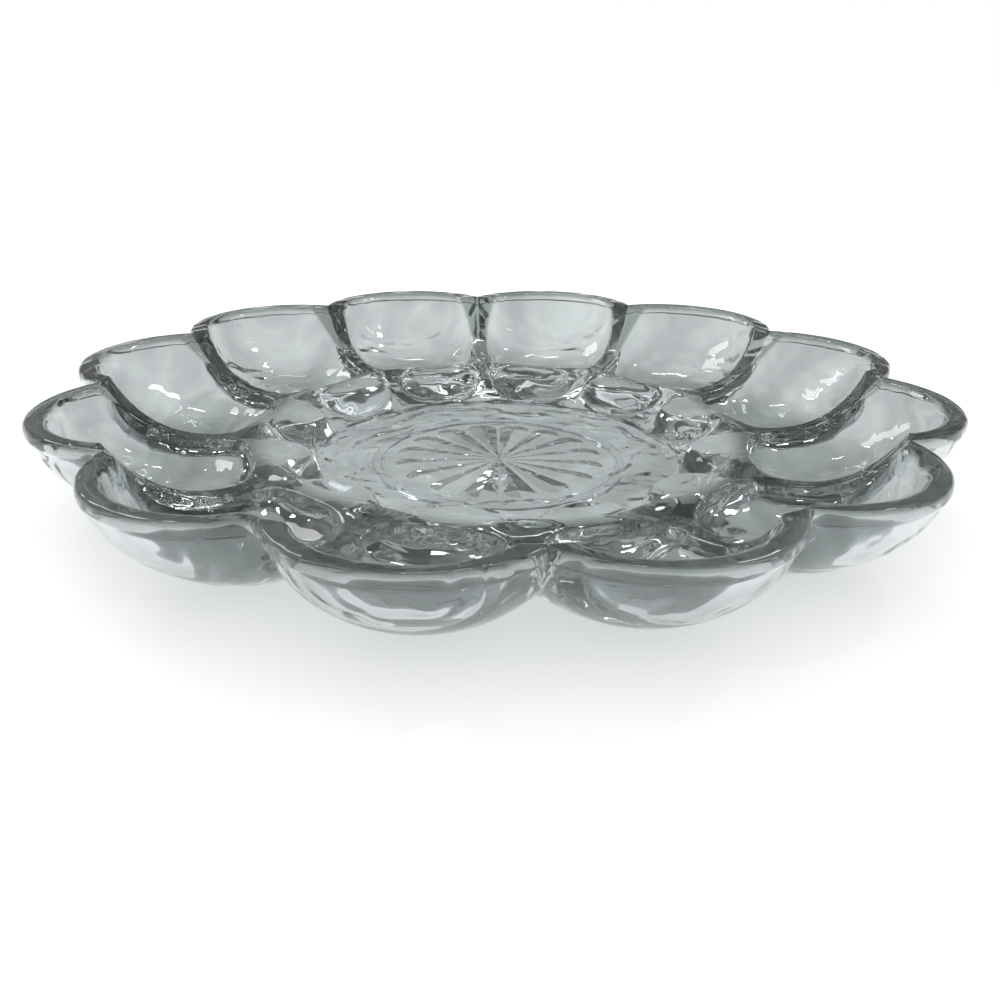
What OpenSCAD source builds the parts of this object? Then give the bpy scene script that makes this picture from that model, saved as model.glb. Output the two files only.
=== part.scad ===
// Deviled egg platter of clear pressed glass: egg wells in a ring round a centre dish.
// The real plate is one pressing, so its nodes are the regions of that pressing, and
// they meet face to face. Millimetres, +Z up. The origin lies on the resting plane
// under the middle of the plate.

/* [Plate] */
// Width of the plate across two opposite lobes
plate_d = 280; // [260:1:300]
// Height from the resting plane to the top of the rim
plate_h = 31; // [28:0.5:35]
// How far the notches of the scalloped outline lie inside the tips of its lobes
notch_depth = 15.5; // [13:0.5:18]

/* [Rim] */
// Width of the band on top of the rim
rim_w = 7.4; // [5:0.1:9]
// Height of the thicker lip round the outside
lip_h = 3; // [2:0.1:5]
// How far the lip stands out from the wall under it
lip_step = 0.7; // [0.3:0.1:1.5]
// Rounding of the rim's outer edge
edge_r = 1.6; // [0.8:0.1:1.9]

/* [Egg wells] */
// Glass under the deepest point of a well
well_t = 4.8; // [4:0.1:6.5]
// Depth of a well's inner edge below the rim
inner_edge_drop = 17.6; // [16:0.1:20]
// How much the lip still rises towards the centre before it falls to the dish
lip_rise = 2.5; // [0.5:0.1:4]
// Length of the curved lip that falls from a well's inner edge to the dish floor
inner_lip_run = 20.8; // [18:0.1:24]

/* [Dividers] */
// Width of the rounded divider between two wells
divider_w = 6; // [4:0.1:9]
// Depth of the level stretch of a divider below the rim
divider_drop = 18.2; // [15:0.1:20]
// Length over which a divider falls from the rim to its level stretch
divider_run = 35; // [30:0.5:40]
// Distance from the notch in the rim to the start of that fall
divider_start = 2; // [1:0.1:4]
// How far the raised inner end of a divider lies inside the wells' inner edges
peak_in = 4; // [3:0.1:7]
// How far that raised end stands above the level stretch
peak_rise = 2.8; // [0.5:0.1:3.5]
// Radial size of the raised end
peak_w = 5; // [3:0.1:8]
// Thickness of the glass under a divider
web_t = 6; // [4.5:0.1:8]

/* [Underside] */
// How much of each well's curved underside is flattened where it rests
pad_h = 0.4; // [0.2:0.1:0.8]
// Length of the step from the dish's underside down to the resting plane
step_run = 6; // [4:0.5:10]

/* [Centre dish] */
// Width of the plain floor between the star's medallion and the wells
dish_band = 21; // [18:0.5:24]
// Thickness of the glass in the dish's floor
dish_t = 4; // [3.2:0.1:5]

/* [Star] */
// Number of rays in the star
ray_count = 16; // [12:1:18]
// Distance from the star's centre to the rounded ends of its rays
star_r = 34; // [31:0.5:38]
// Least width of flat glass between two rays
ray_gap = 1.1; // [0.6:0.1:3]
// Depth of a ray where it is deepest
ray_depth = 1.9; // [1:0.1:2.4]
// Width of the plain edge of the medallion round the star
star_edge = 3; // [1:0.5:4]

/* [Foot ring] */
// Distance from the medallion's edge to the foot ring
ring_gap = 1; // [0.5:0.5:4]
// Width of the foot ring at its root
ring_w = 3; // [2:0.1:4]
// Height of the foot ring
ring_h = 1; // [0.6:0.1:1.8]

/* [Hidden] */

// One node for each well
wells = 12;
half_turn = 180;
// Half the angle of one well's sector
half_a = half_turn / wells;

// Radii from the plate's axis outward: star, medallion, dish floor, wells' inner edges
half_ray_a = half_turn / ray_count;
ray_w = (star_r * sin(half_ray_a) - ray_gap / 2) / (1 + sin(half_ray_a));
medallion_r = star_r + star_edge;
ring_r = medallion_r + ring_gap + ring_w / 2;
dish_r = medallion_r + dish_band;
well_in_r = dish_r + inner_lip_run;
peak_r = well_in_r - peak_in;

// A lobe is an arc of radius lobe_r round a centre at lobe_c, from notch to notch
plate_r = plate_d / 2;
notch_r = plate_r - notch_depth;
lobe_c = (pow(plate_r, 2) - pow(notch_r, 2)) / (2 * (plate_r - notch_r * cos(half_a)));
lobe_r = plate_r - lobe_c;
well_out_r = lobe_r - rim_w;
wall_arc_r = lobe_r - lip_step;

// A well is deepest at this share of its length, counted from its inner edge
deep_share = 0.264;
well_in_len = deep_share * (plate_r - rim_w - well_in_r);
well_r = well_in_r + well_in_len;
// The lobe's centre lies this far outside the deepest point
lobe_off = lobe_c - well_r;
well_side = sqrt(pow(well_out_r, 2) - pow(lobe_off, 2));
wall_side = sqrt(pow(wall_arc_r, 2) - pow(lobe_off, 2));
side_gap = well_r * sin(half_a);

dish_z = ring_h + dish_t;
inner_edge_z = plate_h - inner_edge_drop;
divider_top_r = notch_r - divider_start;
ring_chamfer_share = 0.33;
ring_chamfer = ring_h * ring_chamfer_share;
// How far a cut runs past the faces that it goes through
cut_over = 1;

// Shapes of the curves, as powers and shares
lip_power = 3;
divider_power = 2.8;
spandrel_power = 1.6;
blend_power = 8;
wall_power = 1.9;
web_power = 6;
rim_fade_power = 16;
// The shoulder of a well is rounded between these shares of its half width
shoulder_in_share = 0.98;
shoulder_out_share = 1.09;

// Where each sector is sampled: across it, along its top and along its underside
across_shares = [-1, -0.95, -0.885, -0.8, -0.69, -0.53, -0.3, 0, 0.3, 0.53, 0.69, 0.8, 0.885, 0.95, 1];
top_shares = [
    0, 0.008, 0.02, 0.045, 0.08, 0.13, 0.19, 0.23, 0.26, 0.277, 0.305, 0.35, 0.41,
    0.5, 0.6, 0.7, 0.78, 0.84, 0.886, 0.918, 0.938, 0.953, 0.97, 1
];
under_shares = [0.986, 0.96, 0.916, 0.855, 0.775, 0.675, 0.555, 0.41, 0.25, 0.1, 0.04, 0];
edge_steps = 3;
quarter_turn = 90;
disc_fn = 96;
ray_end_fn = 48;

// Distance from the plate's axis to an arc of radius r whose centre is at c
function arc_r(c, r, t) = c * cos(t) + sqrt(max(r * r - pow(c * sin(t), 2), 0));

function clamp_share(v) = min(max(v, 0), 1);

function smooth_share(v) = let (s = clamp_share(v)) s * s * (3 - 2 * s);

// Two heights joined by a rounded corner, the higher one winning
function blend_up(p, q) = pow(pow(p, blend_power) + pow(q, blend_power), 1 / blend_power);

// Height of a divider's level line and of the surface that the wells are sunk into
function divider_z(r) =
    let (s = clamp_share((divider_top_r - r) / divider_run))
    plate_h - divider_drop * (1 - pow(1 - s, divider_power));

// Height of that surface with the raised inner ends of the dividers
function outer_crest_z(r, t) =
    let (side_share = (1 - cos(half_turn * t / half_a)) / 2)
    divider_z(r) + peak_rise * side_share * exp(-pow((r - peak_r) / peak_w, 2));

// Inside the raised ends it falls to the dish floor as a hollow triangle
function crest_z(r, t) =
    let (s = clamp_share((r - dish_r) / (peak_r - dish_r)))
    r >= peak_r ? outer_crest_z(r, t)
    : dish_z + (outer_crest_z(peak_r, t) - dish_z) * pow(s, spandrel_power);

// Height above the dish floor of a well's bulging inner end, with a small round foot
function bulge_h(r, t) =
    let (
        inward = (well_in_r - r * cos(t)) / inner_lip_run,
        q = norm([inward, r * sin(t) / inner_lip_run]),
        full = inner_edge_z - dish_z + lip_rise * clamp_share(inward)
    )
    full * hollow_share(pow(q, lip_power) * shoulder_out_share);

function plain_z(r, t) = dish_z + blend_up(max(crest_z(r, t) - dish_z, 0), bulge_h(r, t));

// Share of the way from the well's deepest point to its edge, towards one divider
function side_level(r, t) =
    max((side_gap - r * sin(half_a - t)) / (side_gap - divider_w / 2), 0);

// The same share towards the rim or the inner lip
function end_level(r, t) =
    let (
        dx = r * cos(t) - well_r,
        dy = r * sin(t),
        turn = atan2(dy, dx),
        reach = arc_r(lobe_off, well_out_r, turn)
    )
    dx > 0 ? norm([dx, dy]) / reach : norm([dx / well_in_len, dy / well_side]);

function well_level(r, t) = pow(
    pow(end_level(r, t), blend_power) + pow(side_level(r, t), blend_power)
        + pow(side_level(r, -t), blend_power),
    1 / blend_power
);

// Share of the well's full depth at a level, with a rounded shoulder
function hollow_share(g) =
    let (
        span = shoulder_out_share - shoulder_in_share,
        start = sqrt(1 - pow(shoulder_in_share, 2)),
        slope = -shoulder_in_share / start * span,
        s = clamp_share((g - shoulder_in_share) / span)
    )
    g < shoulder_in_share ? sqrt(1 - g * g)
    : max(start * (1 - s * s * (3 - 2 * s)) + slope * s * pow(1 - s, 2), 0);

function top_z(r, t) =
    let (z = plain_z(r, t))
    z - (z - well_t) * hollow_share(well_level(r, t));

// Share of the way from the underside's level line out to the wall
function wall_level(r, t) =
    let (
        dx = r * cos(t) - well_r,
        dy = r * sin(t),
        reach = arc_r(lobe_off, wall_arc_r, atan2(dy, dx))
    )
    min(dx > 0 ? norm([dx, dy]) / reach : abs(dy) / wall_side, 1);

// The curved underside, kept web_t below the dividers and level with the dish at its inner end
function under_z(r, t) =
    let (
        g = wall_level(r, t),
        bowl = max(plate_h * (1 - pow(1 - pow(g, wall_power), 1 / wall_power)) - pad_h, 0),
        web = divider_z(r) - web_t + plate_h * pow(g, rim_fade_power),
        capped = bowl / pow(1 + pow(bowl / web, web_power), 1 / web_power)
    )
    ring_h * (1 - smooth_share((r - dish_r) / step_run))
    + capped * smooth_share((r - dish_r) / (well_in_r - dish_r));

// The rim's outer edge, from its top round to the foot of the lip
function edge_points(r) = concat(
    [for (i = [1 : edge_steps]) let (b = quarter_turn * i / edge_steps)
        [r - edge_r * (1 - sin(b)), plate_h - edge_r * (1 - cos(b))]],
    [[r, plate_h - lip_h], [r - lip_step, plate_h - lip_h - lip_step]]
);

// One section through a well's sector, as distance from the axis and height
function section(t) =
    let (
        rim = arc_r(lobe_c, lobe_r, t),
        top_run = rim - edge_r - dish_r,
        under_run = arc_r(lobe_c, wall_arc_r, t) - dish_r
    )
    concat(
        [for (s = top_shares) [dish_r + s * top_run, top_z(dish_r + s * top_run, t)]],
        edge_points(rim),
        [for (s = under_shares) [dish_r + s * under_run, under_z(dish_r + s * under_run, t)]]
    );

sections = [for (s = across_shares) section(s * half_a)];
section_n = len(sections[0]);
section_last = len(across_shares) - 1;

sector_points = [
    for (i = [0 : section_last]) let (t = across_shares[i] * half_a)
        for (p = sections[i]) [p[0] * cos(t), p[0] * sin(t), p[1]]
];

// The last point of a section's top, and the first of its underside, are at the rim's edge
rim_point = len(top_shares) + edge_steps - 1;

// Triangles that fill a section, from its inner end out to the rim. Point i is on its top
// and point j on its underside, and each step goes to the nearer of the next two points.
function cap_triangles(i, j) =
    let (
        outline = sections[0],
        on_top = i < rim_point,
        under = j > rim_point + 1,
        top_step = on_top ? norm(outline[i + 1] - outline[j]) : plate_d,
        under_step = under ? norm(outline[i] - outline[j - 1]) : plate_d
    )
    !on_top && !under ? []
    : top_step < under_step ? concat([[i, i + 1, j]], cap_triangles(i + 1, j))
    : concat([[i, j - 1, j]], cap_triangles(i, j - 1));

cap_faces = cap_triangles(0, section_n - 1);

sector_faces = concat(
    cap_faces,
    [for (f = cap_faces) [for (j = [2 : -1 : 0]) section_last * section_n + f[j]]],
    [for (i = [0 : section_last - 1], j = [0 : section_n - 1])
        let (k = (j + 1) % section_n, m = i * section_n, n = m + section_n)
            each [[m + j, n + j, n + k], [m + j, n + k, m + k]]]
);

// One egg well with its stretch of rim and half of the divider on each side
module egg_well(number) {
    color([0.80, 0.86, 0.85, 0.6])
    rotate([0, 0, 2 * half_a * (number - 1)])
    polyhedron(points = sector_points, faces = sector_faces);
}

// The dish floor, whose edge follows the sectors' inner faces
module dish_disc() {
    linear_extrude(dish_t)
    polygon([
        for (k = [0 : wells - 1], i = [0 : section_last - 1])
            let (b = 2 * half_a * k + across_shares[i] * half_a)
                dish_r * [cos(b), sin(b)]
    ]);
}

module centre_dish() {
    color([0.76, 0.83, 0.82, 0.6])
    difference() {
        translate([0, 0, ring_h]) dish_disc();
        translate([0, 0, ring_h - cut_over])
        cylinder(r = medallion_r, h = dish_t + 2 * cut_over, $fn = disc_fn);
    }
}

// A ray is a groove that widens and deepens outward, with a round end of the same slope
module ray_groove() {
    reach = star_r - ray_w;
    polyhedron(
        points = [[0, 0, 0], [reach, -ray_w, 0], [reach, ray_w, 0], [reach, 0, ray_depth]],
        faces = [[0, 1, 2], [1, 3, 2], [0, 3, 1], [0, 2, 3]]
    );
    translate([reach, 0, 0]) cylinder(r1 = ray_w, r2 = 0, h = ray_depth, $fn = ray_end_fn);
}

module star_medallion() {
    color([0.70, 0.78, 0.77, 0.6])
    difference() {
        translate([0, 0, ring_h]) cylinder(r = medallion_r, h = dish_t, $fn = disc_fn);
        for (i = [0 : ray_count - 1])
            rotate([0, 0, 2 * half_turn * i / ray_count])
            translate([0, 0, ring_h]) ray_groove();
    }
}

module foot_ring() {
    color([0.72, 0.80, 0.79, 0.6])
    rotate_extrude($fn = disc_fn)
    translate([ring_r, 0])
    polygon([
        [-ring_w / 2, ring_h],
        [-ring_w / 2, ring_chamfer],
        [-ring_w / 2 + ring_chamfer, 0],
        [ring_w / 2 - ring_chamfer, 0],
        [ring_w / 2, ring_chamfer],
        [ring_w / 2, ring_h]
    ]);
}

egg_well(1);  // egg_well_01
egg_well(2);  // egg_well_02
egg_well(3);  // egg_well_03
egg_well(4);  // egg_well_04
egg_well(5);  // egg_well_05
egg_well(6);  // egg_well_06
egg_well(7);  // egg_well_07
egg_well(8);  // egg_well_08
egg_well(9);  // egg_well_09
egg_well(10);  // egg_well_10
egg_well(11);  // egg_well_11
egg_well(12);  // egg_well_12
centre_dish();
star_medallion();
foot_ring();
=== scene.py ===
import math

import bpy
import numpy as np
from mathutils import Matrix, Vector


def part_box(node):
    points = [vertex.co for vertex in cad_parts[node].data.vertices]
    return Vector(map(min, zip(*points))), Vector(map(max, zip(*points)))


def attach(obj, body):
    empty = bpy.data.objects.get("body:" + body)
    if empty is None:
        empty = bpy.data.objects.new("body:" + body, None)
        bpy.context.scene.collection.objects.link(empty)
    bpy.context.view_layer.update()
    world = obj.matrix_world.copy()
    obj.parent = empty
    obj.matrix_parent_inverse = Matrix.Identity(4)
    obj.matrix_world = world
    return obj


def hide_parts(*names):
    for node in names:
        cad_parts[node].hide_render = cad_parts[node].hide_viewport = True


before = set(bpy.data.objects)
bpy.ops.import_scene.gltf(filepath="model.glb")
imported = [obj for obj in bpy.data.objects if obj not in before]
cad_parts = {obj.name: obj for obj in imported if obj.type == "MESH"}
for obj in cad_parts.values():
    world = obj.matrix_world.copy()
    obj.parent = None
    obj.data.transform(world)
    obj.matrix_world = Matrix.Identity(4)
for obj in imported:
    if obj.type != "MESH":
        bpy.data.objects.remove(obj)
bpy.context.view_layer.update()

# Deviled egg platter of clear pressed glass. Each piece stands for the region of the
# pressing that its CAD node holds, and repeats that region's surfaces on a finer grid.
# The plate's lengths are in millimetres until a mesh is made, and its azimuths in radians.
MM = 0.001


def frame_size(node, corner, axis):
    """One coordinate of a CAD node's box, in millimetres."""
    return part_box(node)[corner][axis] / MM


# The plate, the dish and the star, from the frame
PLATE_R = frame_size("egg_well_01", 1, 0)
PLATE_H = frame_size("egg_well_01", 1, 2)
DISH_R = frame_size("centre_dish", 1, 0)
DISH_Z = frame_size("centre_dish", 1, 2)
MEDALLION_R = frame_size("star_medallion", 1, 0)
RING_OUT_R = frame_size("foot_ring", 1, 0)
RING_H = frame_size("foot_ring", 1, 2)

# How many wells there are, and half the angle of a well's sector
WELLS = 12
HALF_A = math.pi / WELLS

# The rim
NOTCH_DEPTH = 15.5
RIM_W = 7.4
LIP_H = 3.0
LIP_STEP = 0.7
EDGE_R = 1.6

# The wells
WELL_T = 4.8
INNER_EDGE_DROP = 17.6
INNER_LIP_RUN = 20.8
LIP_RISE = 2.5
DEEP_SHARE = 0.264
SHOULDER_IN_SHARE, SHOULDER_OUT_SHARE = 0.98, 1.09

# The dividers and the wall
DIVIDER_W = 6.0
DIVIDER_DROP = 18.2
DIVIDER_RUN = 35.0
DIVIDER_START = 2.0
PEAK_IN, PEAK_RISE, PEAK_W = 4.0, 2.8, 5.0
WEB_T = 6.0
PAD_H = 0.4
STEP_RUN = 6.0
LIP_POWER, DIVIDER_POWER, SPANDREL_POWER, BLEND_POWER = 3.0, 2.8, 1.6, 8.0
WALL_POWER, WEB_POWER, RIM_FADE_POWER = 1.9, 6.0, 16.0

# The star and the foot ring
RAYS = 16
STAR_EDGE = 3.0
RAY_GAP = 1.1
RAY_DEPTH = 1.9
RING_W = 3.0

# Worked out from the sizes above
STAR_R = MEDALLION_R - STAR_EDGE
HALF_RAY_A = math.pi / RAYS
RAY_W = (STAR_R * math.sin(HALF_RAY_A) - RAY_GAP / 2) / (1 + math.sin(HALF_RAY_A))
RING_IN_R = RING_OUT_R - RING_W
WELL_IN_R = DISH_R + INNER_LIP_RUN
PEAK_R = WELL_IN_R - PEAK_IN
NOTCH_R = PLATE_R - NOTCH_DEPTH
LOBE_C = (PLATE_R**2 - NOTCH_R**2) / (2 * (PLATE_R - NOTCH_R * math.cos(HALF_A)))
LOBE_R = PLATE_R - LOBE_C
WELL_OUT_R = LOBE_R - RIM_W
WALL_ARC_R = LOBE_R - LIP_STEP
WELL_IN_LEN = DEEP_SHARE * (PLATE_R - RIM_W - WELL_IN_R)
WELL_R = WELL_IN_R + WELL_IN_LEN
LOBE_OFF = LOBE_C - WELL_R
WELL_SIDE = math.sqrt(WELL_OUT_R**2 - LOBE_OFF**2)
WALL_SIDE = math.sqrt(WALL_ARC_R**2 - LOBE_OFF**2)
SIDE_GAP = WELL_R * math.sin(HALF_A)
INNER_EDGE_Z = PLATE_H - INNER_EDGE_DROP
DIVIDER_TOP_R = NOTCH_R - DIVIDER_START


def arc_r(c, r, t):
    """Distance from the plate's axis to an arc of radius r whose centre is at c."""
    return c * np.cos(t) + np.sqrt(np.maximum(r * r - (c * np.sin(t)) ** 2, 0))


def smooth(v):
    s = np.clip(v, 0, 1)
    return s * s * (3 - 2 * s)


def hollow_share(g):
    """Share of a well's full depth at level g, a round bowl with a rounded shoulder."""
    span = SHOULDER_OUT_SHARE - SHOULDER_IN_SHARE
    start = math.sqrt(1 - SHOULDER_IN_SHARE**2)
    slope = -SHOULDER_IN_SHARE / start * span
    s = np.clip((g - SHOULDER_IN_SHARE) / span, 0, 1)
    bowl = np.sqrt(np.maximum(1 - g * g, 0))
    shoulder = np.maximum(start * (1 - s * s * (3 - 2 * s)) + slope * s * (1 - s) ** 2, 0)
    return np.where(g < SHOULDER_IN_SHARE, bowl, shoulder)


def divider_z(r):
    s = np.clip((DIVIDER_TOP_R - r) / DIVIDER_RUN, 0, 1)
    return PLATE_H - DIVIDER_DROP * (1 - (1 - s) ** DIVIDER_POWER)


def outer_crest_z(r, t):
    side_share = (1 - np.cos(np.pi * t / HALF_A)) / 2
    return divider_z(r) + PEAK_RISE * side_share * np.exp(-(((r - PEAK_R) / PEAK_W) ** 2))


def crest_z(r, t):
    """Height of the dividers, and of the hollow triangles that fall to the dish."""
    s = np.clip((r - DISH_R) / (PEAK_R - DISH_R), 0, 1)
    inside = DISH_Z + (outer_crest_z(PEAK_R, t) - DISH_Z) * s**SPANDREL_POWER
    return np.where(r >= PEAK_R, outer_crest_z(r, t), inside)


def bulge_h(r, t):
    """Height above the dish of a well's bulging inner end, with a small round foot."""
    inward = (WELL_IN_R - r * np.cos(t)) / INNER_LIP_RUN
    q = np.hypot(inward, r * np.sin(t) / INNER_LIP_RUN)
    full = INNER_EDGE_Z - DISH_Z + LIP_RISE * np.clip(inward, 0, 1)
    return full * hollow_share(q**LIP_POWER * SHOULDER_OUT_SHARE)


def plain_z(r, t):
    crest = np.maximum(crest_z(r, t) - DISH_Z, 0)
    return DISH_Z + (crest**BLEND_POWER + bulge_h(r, t) ** BLEND_POWER) ** (1 / BLEND_POWER)


def side_level(r, t):
    return np.maximum((SIDE_GAP - r * np.sin(HALF_A - t)) / (SIDE_GAP - DIVIDER_W / 2), 0)


def end_level(r, t):
    dx = r * np.cos(t) - WELL_R
    dy = r * np.sin(t)
    reach = arc_r(LOBE_OFF, WELL_OUT_R, np.arctan2(dy, dx))
    return np.where(dx > 0, np.hypot(dx, dy) / reach, np.hypot(dx / WELL_IN_LEN, dy / WELL_SIDE))


def well_level(r, t):
    """0 at a well's deepest point and 1 at its edge."""
    levels = (end_level(r, t), side_level(r, t), side_level(r, -t))
    return sum(v**BLEND_POWER for v in levels) ** (1 / BLEND_POWER)


def top_z(r, t):
    z = plain_z(r, t)
    return z - (z - WELL_T) * hollow_share(well_level(r, t))


def wall_level(r, t):
    dx = r * np.cos(t) - WELL_R
    dy = r * np.sin(t)
    reach = arc_r(LOBE_OFF, WALL_ARC_R, np.arctan2(dy, dx))
    return np.minimum(np.where(dx > 0, np.hypot(dx, dy) / reach, np.abs(dy) / WALL_SIDE), 1)


def under_z(r, t):
    """The curved underside, kept WEB_T below the dividers and level with the dish inside."""
    g = wall_level(r, t)
    bowl = np.maximum(PLATE_H * (1 - (1 - g**WALL_POWER) ** (1 / WALL_POWER)) - PAD_H, 0)
    web = divider_z(r) - WEB_T + PLATE_H * g**RIM_FADE_POWER
    capped = bowl / (1 + (bowl / web) ** WEB_POWER) ** (1 / WEB_POWER)
    inner = RING_H * (1 - smooth((r - DISH_R) / STEP_RUN))
    return inner + capped * smooth((r - DISH_R) / (WELL_IN_R - DISH_R))


def shares(*stretches):
    """Rising shares from 0, with a number of even steps up to each stretch's end."""
    found, start = [0.0], 0.0
    for end, steps in stretches:
        found += [start + (end - start) * (k + 1) / steps for k in range(steps)]
        start = end
    return np.array(found)


# Where a sector is sampled: finer along the dividers, the wells' edges and the rim
SIDE_SHARES = shares((0.40, 7), (0.72, 9), (1.0, 14))
ACROSS_SHARES = np.concatenate([-SIDE_SHARES[:0:-1], SIDE_SHARES])
TOP_SHARES = shares(
    (0.05, 12), (0.21, 24), (0.29, 24), (0.40, 12), (0.86, 36), (0.985, 34), (1.0, 3)
)
UNDER_SHARES = shares((0.08, 8), (0.6, 26), (0.9, 28), (0.97, 16), (0.998, 14))[::-1]
# Steps round the rim's outer edge, and down the foot of the lip over its fall
EDGE_STEPS = 8
FOOT_STEPS = 8
FOOT_FALL = 1.4


def outline(t):
    """Points along each section at azimuths t, as arrays [point, section] of r and z."""
    rim = arc_r(LOBE_C, LOBE_R, t)
    top_r = DISH_R + TOP_SHARES[:, None] * (rim - EDGE_R - DISH_R)
    turn = np.linspace(0, np.pi / 2, EDGE_STEPS + 1)[1:, None]
    edge_r = rim - EDGE_R * (1 - np.sin(turn))
    edge_z = PLATE_H - EDGE_R * (1 - np.cos(turn)) + 0 * rim
    fall = np.linspace(0, 1, FOOT_STEPS + 1)[:, None]
    foot_r = rim - LIP_STEP * smooth(fall)
    foot_z = PLATE_H - LIP_H - FOOT_FALL * fall + 0 * rim
    wall_r = DISH_R + UNDER_SHARES[:, None] * (arc_r(LOBE_C, WALL_ARC_R, t) - DISH_R)
    wall_z = np.minimum(under_z(wall_r, t), foot_z[-1])
    r = np.concatenate([top_r, edge_r, foot_r, wall_r])
    z = np.concatenate([top_z(top_r, t), edge_z, foot_z, wall_z])
    return r, z


def grid_points(t):
    r, z = outline(t)
    return np.stack([r * np.cos(t), r * np.sin(t), z], -1)


def sector_grid():
    """Points and smooth outward normals of a sector. A ghost section past each side lets
    the normals run on into the next sector."""
    beyond = HALF_A * (2 - ACROSS_SHARES[-2])
    t = np.concatenate([[-beyond], ACROSS_SHARES * HALF_A, [beyond]])
    inner = grid_points(ACROSS_SHARES * HALF_A)
    mirrored = []
    for side, near in ((-1, 1), (1, -2)):
        a = side * HALF_A
        turned = np.array([[np.cos(2 * a), np.sin(2 * a)], [np.sin(2 * a), -np.cos(2 * a)]])
        ghost = inner[:, near].copy()
        ghost[:, :2] = ghost[:, :2] @ turned.T
        mirrored.append(ghost[:, None])
    points = np.concatenate([mirrored[0], inner, mirrored[1]], axis=1)
    middle = inner[:, len(ACROSS_SHARES) // 2]
    along = np.concatenate([[0], np.cumsum(np.linalg.norm(np.diff(middle, axis=0), axis=1))])
    normals = np.cross(np.gradient(points, along, axis=0), np.gradient(points, t, axis=1))
    normals = normals[:, 1:-1]
    normals /= np.linalg.norm(normals, axis=2, keepdims=True)
    return inner, normals


# Edges sharper than this many degrees stay sharp on a piece without normals of its own
SHARP_A = 12
# Name of the mesh attribute that darkens the glass's tint: partly a real tint of thicker glass,
# partly painted shade on the rim, the dividers and the star's grooves
TINT_AND_SHADE = "tint_and_shade"


def make_piece(name, glass, points, faces, seams, normals=None, tint_and_shade=None):
    """A mesh object from points in millimetres. seams are the faces that touch a neighbour.
    With no normals of its own, a piece is smooth but for edges sharper than SHARP_A degrees."""
    mesh = bpy.data.meshes.new(name)
    mesh.from_pydata((np.asarray(points) * MM).tolist(), [], list(faces) + list(seams))
    mesh.materials.append(glass)
    mesh.materials.append(SEAM)
    seam_start = len(faces)
    on_seam = [k >= seam_start for k in range(len(mesh.polygons))]
    mesh.polygons.foreach_set("material_index", [int(inside) for inside in on_seam])
    mesh.polygons.foreach_set("use_smooth", [not inside for inside in on_seam])
    if tint_and_shade is None:
        tint_and_shade = np.zeros(len(points))
    shades = mesh.attributes.new(TINT_AND_SHADE, "FLOAT", "POINT")
    shades.data.foreach_set("value", np.ravel(tint_and_shade))
    piece = bpy.data.objects.new(name, mesh)
    bpy.context.scene.collection.objects.link(piece)
    if normals is None:
        mesh.set_sharp_from_angle(angle=math.radians(SHARP_A))
    else:
        set_normals(mesh, np.asarray(normals), seam_start)
    return piece


def set_normals(mesh, normals, seam_start):
    """Gives each corner of an outer face its point's normal, and each seam face its own."""
    corner_point = np.empty(len(mesh.loops), np.int32)
    mesh.loops.foreach_get("vertex_index", corner_point)
    corner_normal = normals[corner_point]
    for face in mesh.polygons[seam_start:]:
        corner_normal[face.loop_start:face.loop_start + face.loop_total] = face.normal
    mesh.normals_split_custom_set(corner_normal.tolist())


def stand_for(piece, node):
    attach(piece, "root")
    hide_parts(node)


def quads(rows, columns):
    """Faces of a grid whose points are numbered row by row."""
    return [
        (k * columns + i, (k + 1) * columns + i, (k + 1) * columns + i + 1, k * columns + i + 1)
        for k in range(rows - 1)
        for i in range(columns - 1)
    ]


# How dark the glass is tinted in the wells, on the outer wall and near the dish. This is partly a
# real tint of thicker glass and partly painted shade standing in for the dim room that the rim and
# the dividers refract. The rim and the dividers start at level LAND_START of a well.
WELL_THICK_AND_SHADE_SHARE, WALL_THICK_AND_SHADE_SHARE = 0.67, 0.06
INNER_THICK_AND_SHADE_SHARE, INNER_THICK_AND_SHADE_RUN = 0.15, 8.0
LAND_START, LAND_RUN = 0.97, 0.08


def thick_and_shade_shares():
    """How dark the glass is tinted at each point of a sector, partly for its thickness and partly
    as painted shade: 1 on the rim and the dividers, less in the wells and on the outside, and
    almost clear near the dish."""
    r, _ = outline(ACROSS_SHARES * HALF_A)
    t = ACROSS_SHARES * HALF_A + 0 * r
    tops, rims = len(TOP_SHARES), EDGE_STEPS + FOOT_STEPS + 1
    inside = smooth((WELL_IN_R - r) / INNER_THICK_AND_SHADE_RUN)
    found = WALL_THICK_AND_SHADE_SHARE * (1 - inside)
    land = smooth((well_level(r[:tops], t[:tops]) - LAND_START) / LAND_RUN)
    land *= 1 - (1 - INNER_THICK_AND_SHADE_SHARE) * inside[:tops]
    found[:tops] = np.maximum(land, WELL_THICK_AND_SHADE_SHARE * (1 - inside[:tops]))
    fade = smooth(np.linspace(0, 1, rims))[:, None]
    found[tops:tops + rims] = 1 - (1 - WALL_THICK_AND_SHADE_SHARE) * fade
    return found


def make_wells():
    points, normals = sector_grid()
    tint_and_shade = thick_and_shade_shares()
    rows, columns = points.shape[:2]
    faces = quads(rows, columns)
    last = (rows - 1) * columns
    seams = [tuple(k * columns for k in range(rows - 1, -1, -1))]
    seams += [tuple(k * columns + columns - 1 for k in range(rows))]
    seams += [(last + i, i, i + 1, last + i + 1) for i in range(columns - 1)]
    for k in range(WELLS):
        turn = np.array(Matrix.Rotation(2 * HALF_A * k, 3, "Z"))
        name = f"well_{k + 1:02d}"
        flat_points = points.reshape(-1, 3) @ turn.T
        flat_normals = normals.reshape(-1, 3) @ turn.T
        piece = make_piece(name, GLASS, flat_points, faces, seams, flat_normals, tint_and_shade)
        stand_for(piece, f"egg_well_{k + 1:02d}")


def circle_points(radius, height, azimuths):
    return [(radius * math.cos(a), radius * math.sin(a), height) for a in azimuths]


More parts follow.
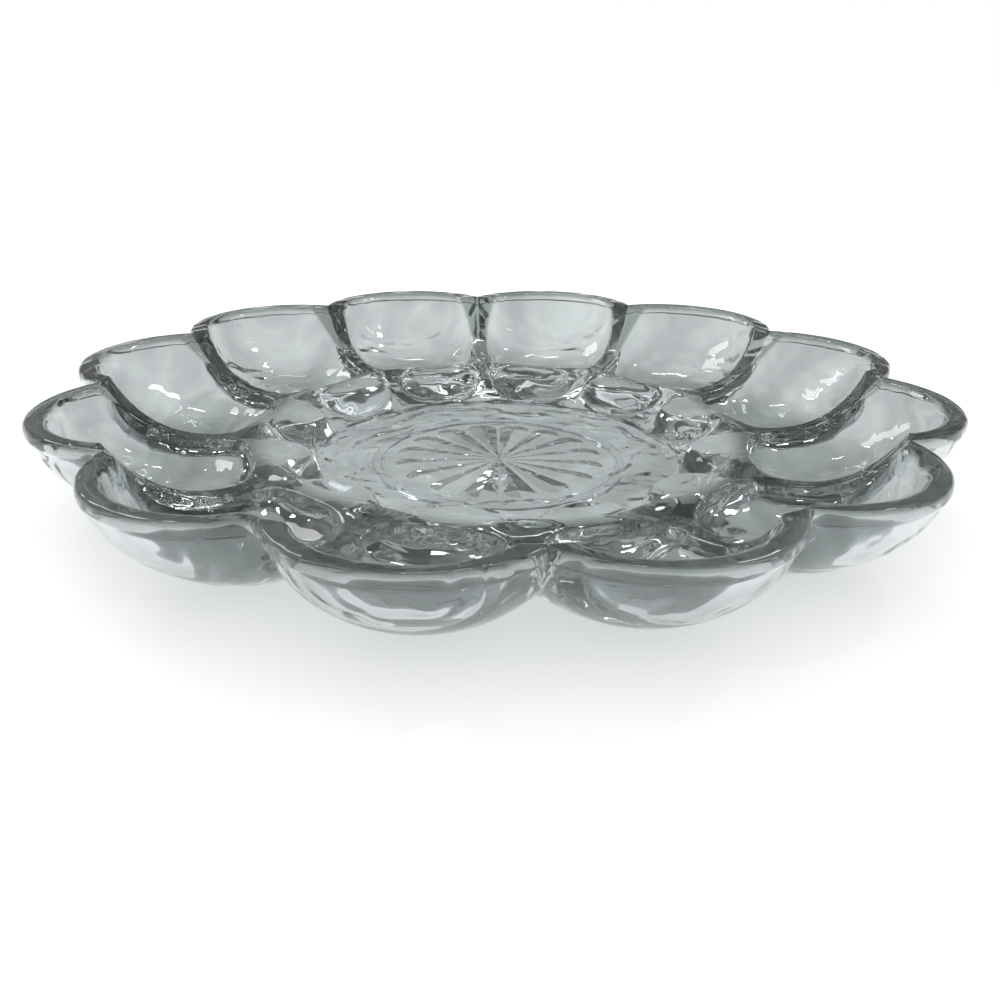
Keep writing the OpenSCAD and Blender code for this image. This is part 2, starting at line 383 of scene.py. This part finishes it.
def zip_rings(inner, outer, first_inner, first_outer):
    """Triangles between two rings of points, given by their rising azimuths."""
    faces, i, j = [], 0, 0
    n, m = len(inner), len(outer)
    while i < n or j < m:
        next_in = inner[i % n + 1 - n] + 2 * math.pi * ((i + 1) // n) if i < n else math.inf
        next_out = outer[j % m + 1 - m] + 2 * math.pi * ((j + 1) // m) if j < m else math.inf
        a, b = first_inner + i % n, first_outer + j % m
        if next_out <= next_in:
            faces.append((a, b, first_outer + (j + 1) % m))
            j += 1
        else:
            faces.append((a, b, first_inner + (i + 1) % n))
            i += 1
    return faces


def strip(first_a, first_b, count):
    """Faces of a closed band between two rings of count points each. An upright band looks
    outward, and a flat one from an inner ring to an outer ring looks down."""
    return [
        (first_a + k, first_a + (k + 1) % count, first_b + (k + 1) % count, first_b + k)
        for k in range(count)
    ]


def flipped(faces):
    return [tuple(reversed(f)) for f in faces]


# Azimuths round the star and the foot ring, where each ray has a point on its middle
RAY_COLUMNS = 45
STAR_COLUMNS = RAYS * RAY_COLUMNS
STAR_AZIMUTHS = [2 * math.pi * k / STAR_COLUMNS for k in range(STAR_COLUMNS)]


def rim_azimuths():
    """Azimuths of the sectors' inner ends, which the dish's edge follows."""
    found = [(2 * k + s) * HALF_A for k in range(WELLS) for s in ACROSS_SHARES[:-1]]
    return sorted(a % (2 * math.pi) for a in found)


def make_dish():
    star_a, edge_a = STAR_AZIMUTHS, rim_azimuths()
    n, m = len(star_a), len(edge_a)
    points, starts = [], []
    rings = [
        (MEDALLION_R, DISH_Z, star_a), (DISH_R, DISH_Z, edge_a), (DISH_R, RING_H, edge_a),
        (RING_OUT_R, RING_H, star_a), (RING_IN_R, RING_H, star_a), (MEDALLION_R, RING_H, star_a),
    ]
    for radius, height, azimuths in rings:
        starts.append(len(points))
        points += circle_points(radius, height, azimuths)
    top_in, top_out, low_out, ring_out, ring_in, low_in = starts
    faces = zip_rings(star_a, edge_a, top_in, top_out)
    faces += flipped(zip_rings(star_a, edge_a, ring_out, low_out))
    faces += strip(low_in, ring_in, n)
    seams = strip(low_out, top_out, m) + flipped(strip(low_in, top_in, n))
    seams += strip(ring_in, ring_out, n)
    stand_for(make_piece("dish_floor", DISH_GLASS, points, faces, seams), "centre_dish")


def ray_depth_at(r, a):
    """Depth of a V groove that widens outward to a round end, at azimuth a from its middle."""
    reach = STAR_R - RAY_W
    x, y = r * math.cos(a), abs(r * math.sin(a))
    across = math.hypot(max(x - reach, 0), y) / RAY_W
    return max(min(x, reach) / reach - across, 0) * RAY_DEPTH


# Painted shade on the star's grooves: how dark it is, where their light comes from, and the depth
# at which they have their full shade
GROOVE_DARK = 0.8
GROOVE_LIGHT_A = math.radians(150)
GROOVE_FADE = 0.3
# Points along a ray, from the star's centre to its end
RING_STEPS = 40


def groove_shade(depth, a, azimuth):
    """How dark the painted shade on a groove's side is. The side that faces away from the light is
    painted darker.
    """
    facing = azimuth - a + math.copysign(math.pi / 2, a)
    away = (1 + math.cos(facing - GROOVE_LIGHT_A)) / 2
    return GROOVE_DARK * away * min(depth / GROOVE_FADE, 1)


def star_rings(a):
    """Radii at which the star is sampled, at azimuth a from the nearest ray's middle."""
    reach = STAR_R - RAY_W
    inside = abs(a) < math.atan(RAY_W / reach)
    end = float(arc_r(reach, RAY_W, a)) if inside else STAR_R
    groove = [end * (k + 1) / RING_STEPS for k in range(RING_STEPS)]
    return groove + [MEDALLION_R]


def make_star():
    points = [(0, 0, DISH_Z), (0, 0, RING_H)]
    tint_and_shade = [0, 0]
    n, half_ray = STAR_COLUMNS, RAY_COLUMNS // 2
    columns = []
    for k, azimuth in enumerate(STAR_AZIMUTHS):
        a = ((k + half_ray) % RAY_COLUMNS - half_ray) * 2 * math.pi / n
        columns.append(len(points))
        for r in star_rings(a):
            depth = ray_depth_at(r, a)
            points.append((r * math.cos(azimuth), r * math.sin(azimuth), RING_H + depth))
            # The tint attribute here holds painted shade: the groove side that faces away from the
            # light is darker
            tint_and_shade.append(groove_shade(depth, a, azimuth))
        points.append((MEDALLION_R * math.cos(azimuth), MEDALLION_R * math.sin(azimuth), DISH_Z))
        tint_and_shade.append(0)
    faces, seams = [], []
    for k in range(n):
        p, q = columns[k], columns[(k + 1) % n]
        faces.append((1, q, p))
        faces += [(p + i, q + i, q + i + 1, p + i + 1) for i in range(RING_STEPS)]
        seams.append((p + RING_STEPS, q + RING_STEPS, q + RING_STEPS + 1, p + RING_STEPS + 1))
        faces.append((0, p + RING_STEPS + 1, q + RING_STEPS + 1))
    piece = make_piece("star", STAR_GLASS, points, faces, seams, tint_and_shade=tint_and_shade)
    stand_for(piece, "star_medallion")


# The foot ring's round corners
RING_CORNER_R = 0.33
RING_ROUND_STEPS = 8


def make_foot_ring():
    """A low ring with round corners, from its top down, under and up again."""
    middle = (RING_OUT_R + RING_IN_R) / 2
    turn = [math.pi * (k / (2 * RING_ROUND_STEPS)) for k in range(2 * RING_ROUND_STEPS + 1)]
    half_w, corner = RING_W / 2, RING_CORNER_R
    profile = [(middle + half_w, RING_H)]
    for a in turn:
        side = math.cos(a)
        sign = 1 if side > 0 else -1
        r = middle + sign * (half_w - corner) + corner * side
        profile.append((r, corner * (1 - math.sin(a))))
    profile.append((middle - half_w, RING_H))
    n, rows = STAR_COLUMNS, len(profile)
    points = [(r * math.cos(a), r * math.sin(a), z) for r, z in profile for a in STAR_AZIMUTHS]
    faces = [
        (i * n + k, (i + 1) * n + k, (i + 1) * n + (k + 1) % n, i * n + (k + 1) % n)
        for i in range(rows - 1)
        for k in range(n)
    ]
    last = (rows - 1) * n
    seams = [(last + k, k, (k + 1) % n, last + (k + 1) % n) for k in range(n)]
    stand_for(make_piece("base_ring", GLASS, points, faces, seams), "foot_ring")


def node_tree(material):
    material.use_nodes = True
    tree = material.node_tree
    tree.nodes.clear()
    return tree


def add_node(tree, kind, inputs=None, **settings):
    """Adds a shader node. Each input gets a constant, or a link from another node's output."""
    found = tree.nodes.new("ShaderNode" + kind)
    for name, value in settings.items():
        setattr(found, name, value)
    for name, value in (inputs or {}).items():
        if isinstance(value, bpy.types.NodeSocket):
            tree.links.new(value, found.inputs[name])
        else:
            found.inputs[name].default_value = value
    return found


# Tints of the glass where it is thin, and where it is thick with painted shade on the rim, the
# dividers and the grooves, and of the shade that it casts
THIN_TINT = (0.93, 0.985, 1, 1)
THICK_AND_SHADE_TINT = (0.1, 0.125, 0.116, 1)
SHADE_TINT = (0.7, 0.72, 0.715, 1)
GLASS_IOR = 1.52

# Ripples of the pressed surface, faint rings left by the spreading glass, and streaks. The
# star is calmer than the wells, and the dish floor is wavier.
RIPPLE_SCALE, RIPPLE_DETAIL, RIPPLE_HEIGHT = 28.0, 2, 0.0008
STAR_RIPPLE_HEIGHT = 0.0003
DISH_RIPPLE_HEIGHT = 0.0012
WAVE_SCALE, WAVE_BEND, WAVE_DETAIL = 36.0, 14.0, 2
WAVE_LOW, WAVE_SHARE = 0.92, 0.22
STREAK_SCALE, STREAK_BEND, STREAK_DETAIL = 16.0, 2.5, 3
STREAK_FROM, STREAK_TO, STREAK_LOW = 0.35, 0.65, 0.7
# Roughness at the top of a ripple, from 0 at its foot
DULL_MOST = 0.03


def make_glass(name, ripple_height):
    """Clear pressed glass. Lamps and the room's light pass through it to what is behind."""
    material = bpy.data.materials.new(name)
    tree = node_tree(material)
    place = add_node(tree, "TexCoord").outputs["Object"]
    ripple = add_node(
        tree, "TexNoise", {"Vector": place, "Scale": RIPPLE_SCALE, "Detail": RIPPLE_DETAIL}
    ).outputs["Fac"]
    wave = add_node(
        tree, "TexWave",
        {"Vector": place, "Scale": WAVE_SCALE, "Distortion": WAVE_BEND, "Detail": WAVE_DETAIL},
        wave_type="RINGS", rings_direction="Z",
    ).outputs["Fac"]
    streak = add_node(
        tree, "TexNoise",
        {
            "Vector": place, "Scale": STREAK_SCALE, "Detail": STREAK_DETAIL,
            "Distortion": STREAK_BEND,
        },
    ).outputs["Fac"]
    height = add_node(tree, "Math", {0: wave, 1: WAVE_SHARE, 2: ripple}, operation="MULTIPLY_ADD")
    bump = add_node(
        tree, "Bump", {"Strength": 1, "Distance": ripple_height, "Height": height.outputs[0]}
    )
    cloud = add_node(
        tree, "MapRange",
        {"Value": streak, "From Min": STREAK_FROM, "From Max": STREAK_TO, "To Min": STREAK_LOW},
    )
    rings = add_node(tree, "MapRange", {"Value": wave, "To Min": WAVE_LOW})
    shade = add_node(
        tree, "Math", {0: cloud.outputs["Result"], 1: rings.outputs["Result"]}, operation="MULTIPLY"
    )
    # The tint attribute: partly a real tint of thick glass, partly painted shade on the rim, the
    # dividers and the star's grooves
    depth = add_node(tree, "Attribute", attribute_name=TINT_AND_SHADE).outputs["Fac"]
    tint = add_node(
        tree, "Mix", {"Factor": depth, "A": THIN_TINT, "B": THICK_AND_SHADE_TINT}, data_type="RGBA"
    )
    colour = add_node(
        tree, "VectorMath", {0: tint.outputs["Result"], "Scale": shade.outputs[0]},
        operation="SCALE",
    )
    dull = add_node(tree, "MapRange", {"Value": ripple, "To Max": DULL_MOST})
    glass = add_node(
        tree, "BsdfPrincipled",
        {
            "Base Color": colour.outputs[0], "Transmission Weight": 1, "IOR": GLASS_IOR,
            "Roughness": dull.outputs["Result"], "Normal": bump.outputs["Normal"],
        },
    )
    clear = add_node(tree, "BsdfTransparent", {"Color": SHADE_TINT})
    path = add_node(tree, "LightPath")
    bounced = add_node(
        tree, "MixShader",
        {0: path.outputs["Is Diffuse Ray"], 1: glass.outputs[0], 2: clear.outputs[0]},
    )
    mix = add_node(
        tree, "MixShader",
        {0: path.outputs["Is Shadow Ray"], 1: bounced.outputs[0], 2: clear.outputs[0]},
    )
    add_node(tree, "OutputMaterial", {"Surface": mix.outputs[0]})
    return material


def make_seam():
    """Faces inside the pressing, where two regions meet and nothing shows."""
    material = bpy.data.materials.new("inside_the_glass")
    tree = node_tree(material)
    clear = add_node(tree, "BsdfTransparent")
    add_node(tree, "OutputMaterial", {"Surface": clear.outputs[0]})
    return material


def sight_rays(tree, path):
    """1 for what is seen directly, mirrored or through glass, and 0 for what is only lit."""
    found = path.outputs["Is Camera Ray"]
    for name in ("Is Glossy Ray", "Is Transmission Ray"):
        either = add_node(tree, "Math", {0: found, 1: path.outputs[name]}, operation="MAXIMUM")
        found = either.outputs[0]
    return found


# The floor, in metres, a hair under the plate so that their faces don't lie in one plane
FLOOR_HALF = 6.0
FLOOR_GAP = 0.0002
FLOOR_COLOR = (0.88, 0.88, 0.88, 1)
FLOOR_GLOW = 0.14


def make_floor():
    """A pale floor. Its glow for sight rays alone brings it to the white of the background."""
    sides = ((-1, -1), (1, -1), (1, 1), (-1, 1))
    corners = [(x * FLOOR_HALF, y * FLOOR_HALF, -FLOOR_GAP) for x, y in sides]
    mesh = bpy.data.meshes.new("floor")
    mesh.from_pydata(corners, [], [(0, 1, 2, 3)])
    floor = bpy.data.objects.new("floor", mesh)
    bpy.context.scene.collection.objects.link(floor)
    material = bpy.data.materials.new("pale_floor")
    tree = node_tree(material)
    matte = add_node(tree, "BsdfDiffuse", {"Color": FLOOR_COLOR})
    path = add_node(tree, "LightPath")
    strength = add_node(
        tree, "Math", {0: sight_rays(tree, path), 1: FLOOR_GLOW}, operation="MULTIPLY"
    )
    glow = add_node(tree, "Emission", {"Strength": strength.outputs[0]})
    both = add_node(tree, "AddShader", {0: matte.outputs[0], 1: glow.outputs[0]})
    add_node(tree, "OutputMaterial", {"Surface": both.outputs[0]})
    mesh.materials.append(material)


def way_to(azimuth, elevation):
    """The direction from the plate to an azimuth and an elevation in degrees. Azimuth 0 is
    along +Y, and azimuths rise to the left."""
    a, e = math.radians(azimuth), math.radians(elevation)
    return Vector((-math.sin(a) * math.cos(e), math.cos(a) * math.cos(e), math.sin(e)))


WHITE = (1, 1, 1, 1)
# Strength of the even light
AMBIENT = 1.0
# What the glass mirrors and refracts: the backdrop is white up to BACKDROP_TOP, a sine of
# elevation, and from there it fades to the dim room at BACKDROP_END
BACKDROP_TOP, BACKDROP_END = 0.06, 0.2
ROOM_DARK = 0.16
# A soft window in that room, from cosine WINDOW_EDGE of the angle to its middle up to
# cosine WINDOW_CORE, where it is brightest
WINDOW_GLOW = 0.25
WINDOW_WAY = tuple(way_to(75, 42))
WINDOW_EDGE, WINDOW_CORE = 0.5, 0.9


def make_world():
    """A white backdrop, a dim room with a soft window that the glass mirrors, and an even light."""
    world = bpy.data.worlds.new("studio")
    bpy.context.scene.world = world
    tree = node_tree(world)
    path = add_node(tree, "LightPath")
    way = add_node(tree, "TexCoord").outputs["Generated"]
    height = add_node(tree, "SeparateXYZ", {0: way}).outputs["Z"]
    room = add_node(
        tree, "MapRange",
        {
            "Value": height, "From Min": BACKDROP_TOP, "From Max": BACKDROP_END,
            "To Min": 1, "To Max": ROOM_DARK,
        },
        interpolation_type="SMOOTHSTEP",
    )
    toward = add_node(tree, "VectorMath", {0: way, 1: WINDOW_WAY}, operation="DOT_PRODUCT")
    window = add_node(
        tree, "MapRange",
        {
            "Value": toward.outputs["Value"], "From Min": WINDOW_EDGE, "From Max": WINDOW_CORE,
            "To Max": WINDOW_GLOW,
        },
        interpolation_type="SMOOTHSTEP",
    )
    mirrored = add_node(tree, "Math", {0: room.outputs["Result"], 1: window.outputs["Result"]})
    strength = add_node(
        tree, "Math", {0: mirrored.outputs[0], 1: path.outputs["Is Camera Ray"]},
        operation="MAXIMUM",
    )
    seen = add_node(tree, "Background", {"Color": WHITE, "Strength": strength.outputs[0]})
    even = add_node(tree, "Background", {"Color": WHITE, "Strength": AMBIENT})
    mix = add_node(
        tree, "MixShader", {0: sight_rays(tree, path), 1: even.outputs[0], 2: seen.outputs[0]}
    )
    add_node(tree, "OutputWorld", {"Surface": mix.outputs[0]})


# Area lamps that face the plate from this many metres: azimuth and elevation in degrees,
# width and height in metres, and power in watts
LAMP_DISTANCE = 1.2
LAMPS = {
    "window_left": (62, 40, (0.26, 0.5), 2.1),
    "glint_left": (50, 44, (0.05, 0.14), 0.4),
    "window_right": (-50, 50, (0.10, 0.16), 1.0),
    "strip_back": (8, 58, (0.30, 0.04), 0.9),
}


def make_lamp(name, azimuth, elevation, size, power):
    data = bpy.data.lights.new(name, "AREA")
    data.shape = "RECTANGLE"
    data.size, data.size_y = size
    data.energy = power
    lamp = bpy.data.objects.new(name, data)
    way = way_to(azimuth, elevation)
    lamp.location = way * LAMP_DISTANCE
    lamp.rotation_mode = "QUATERNION"
    lamp.rotation_quaternion = way.to_track_quat("Z", "Y")
    bpy.context.scene.collection.objects.link(lamp)


# The camera, solved from the rim's outline: its place in metres, its angles in degrees,
# and its lens in millimetres
CAM_PLACE = Vector((0.05735, -0.31823, 0.12527))
CAM_TURN, CAM_TILT, CAM_ROLL = 10.119, 22.814, 0.958
CAM_LENS, SENSOR_W = 38.01, 36.0
CLIP_NEAR, CLIP_FAR = 0.01, 100


def make_camera():
    data = bpy.data.cameras.new("camera")
    data.lens, data.sensor_width = CAM_LENS, SENSOR_W
    data.clip_start, data.clip_end = CLIP_NEAR, CLIP_FAR
    camera = bpy.data.objects.new("camera", data)
    turn = Matrix.Rotation(math.radians(CAM_TURN), 4, "Z")
    tilt = Matrix.Rotation(math.radians(90 - CAM_TILT), 4, "X")
    roll = Matrix.Rotation(math.radians(CAM_ROLL), 4, "Z")
    camera.matrix_world = Matrix.Translation(CAM_PLACE) @ turn @ tilt @ roll
    bpy.context.scene.collection.objects.link(camera)
    bpy.context.scene.camera = camera


# A ray crosses many faces of the plate, and those between its regions are clear
GLASS_BOUNCES, MIRROR_BOUNCES, CLEAR_BOUNCES = 32, 16, 64


def set_render():
    scene = bpy.context.scene
    scene.view_settings.view_transform = "Standard"
    scene.cycles.max_bounces = GLASS_BOUNCES
    scene.cycles.transmission_bounces = GLASS_BOUNCES
    scene.cycles.glossy_bounces = MIRROR_BOUNCES
    scene.cycles.transparent_max_bounces = CLEAR_BOUNCES


make_camera()
set_render()
GLASS = make_glass("clear_pressed_glass", RIPPLE_HEIGHT)
STAR_GLASS = make_glass("clear_star_glass", STAR_RIPPLE_HEIGHT)
DISH_GLASS = make_glass("clear_dish_glass", DISH_RIPPLE_HEIGHT)
SEAM = make_seam()
make_wells()
make_dish()
make_star()
make_foot_ring()
make_floor()
make_world()
for lamp_name, (lamp_azimuth, lamp_elevation, lamp_size, lamp_power) in LAMPS.items():
    make_lamp(lamp_name, lamp_azimuth, lamp_elevation, lamp_size, lamp_power)
